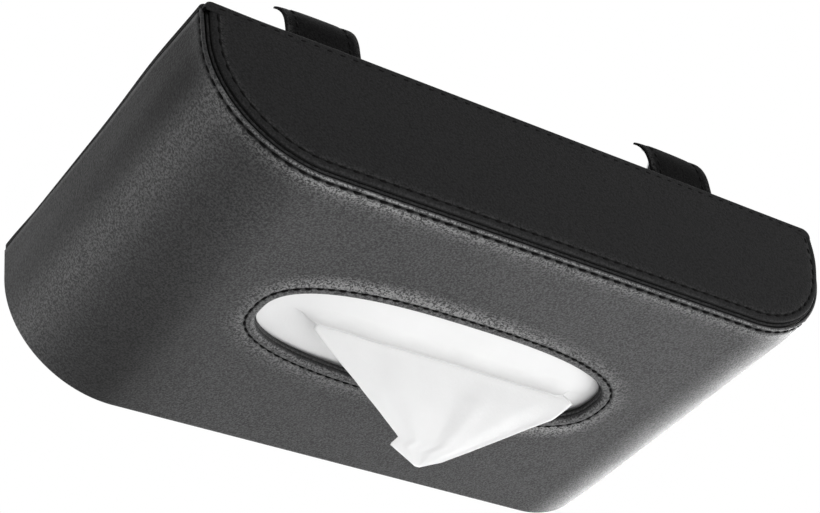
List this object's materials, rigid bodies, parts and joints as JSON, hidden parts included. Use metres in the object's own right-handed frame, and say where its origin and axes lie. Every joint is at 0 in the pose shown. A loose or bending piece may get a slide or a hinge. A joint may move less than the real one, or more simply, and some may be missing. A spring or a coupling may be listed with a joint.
{
  "type": "car tissue holder",
  "caption": "Leather-covered tissue holder that clips under a sun visor, with rounded lower corners, a stitched slot below and a hinged refill flap.",
  "frame": {"origin": "middle of the back plate's outer face, which lies against the sun visor", "axes": "+X along the case, +Y from the flap to the far side, +Z out of the back plate towards the visor"},
  "size_m": [0.23, 0.1262, 0.1049],
  "materials": {
    "black_leather": "fine pebble grain, soft sheen",
    "clip_leather": "fine grain, matte",
    "grey_board": "matte",
    "black_lining": "matte non-woven",
    "black_plastic": "matte",
    "spring_steel": "satin",
    "magnet_plating": "nickel plated",
    "black_felt": "felt",
    "white_tissue": "soft, matte"
  },
  "bodies": {
    "case": {"wrap_leather": "black_leather", "wrap_lining": "black_lining", "end_board_left": "grey_board", "end_board_right": "grey_board", "face_board": "grey_board", "near_rim": "black_leather", "far_rim": "black_leather", "slot_binding": "black_leather", "slot_frame": "black_plastic", "back_leather": "black_leather", "back_board": "grey_board", "back_lining": "black_lining", "far_leather": "black_leather", "far_board": "grey_board", "far_lining": "black_lining", "opening_lip": "black_lining", "catch_disc_1": "spring_steel", "catch_disc_2": "spring_steel", "catch_disc_3": "spring_steel", "hinge_bead": "black_leather", "clip_bracket_left": "spring_steel", "clip_bracket_right": "spring_steel", "clip_rivet_1": "spring_steel", "clip_rivet_2": "spring_steel", "clip_rivet_3": "spring_steel", "clip_rivet_4": "spring_steel", "tissue_pack": "white_tissue"},
    "flap": {"flap_leather": "black_leather", "flap_board": "grey_board", "flap_lining": "black_lining", "flap_magnet_1": "magnet_plating", "flap_magnet_2": "magnet_plating", "flap_magnet_3": "magnet_plating"},
    "clip_left": {"clip_spring_left": "spring_steel", "clip_cover_left": "clip_leather", "clip_pad_left": "black_felt"},
    "clip_right": {"clip_spring_right": "spring_steel", "clip_cover_right": "clip_leather", "clip_pad_right": "black_felt"},
    "sheet": {"tissue_sheet": "white_tissue"}
  },
  "joints": [
    {"name": "flap_hinge", "type": "hinge", "parent": "case", "child": "flap", "pos_m": [0, -0.0622, -0.0009], "axis": [-1, 0, 0], "range_deg": [0, 100]},
    {"name": "clip_left_spring", "type": "hinge", "parent": "case", "child": "clip_left", "pos_m": [-0.0715, -0.0553, -0.0009], "axis": [1, 0, 0], "range_deg": [0, 22], "stiffness_Nm_per_rad": 1, "springref_deg": -5.16},
    {"name": "clip_right_spring", "type": "hinge", "parent": "case", "child": "clip_right", "pos_m": [0.066, -0.0553, -0.0009], "axis": [1, 0, 0], "range_deg": [0, 22], "stiffness_Nm_per_rad": 1, "springref_deg": -5.16},
    {"name": "sheet_pull", "type": "slide", "parent": "case", "child": "sheet", "axis": [0, 0, -1], "range_m": [0, 0.025]}
  ]
}
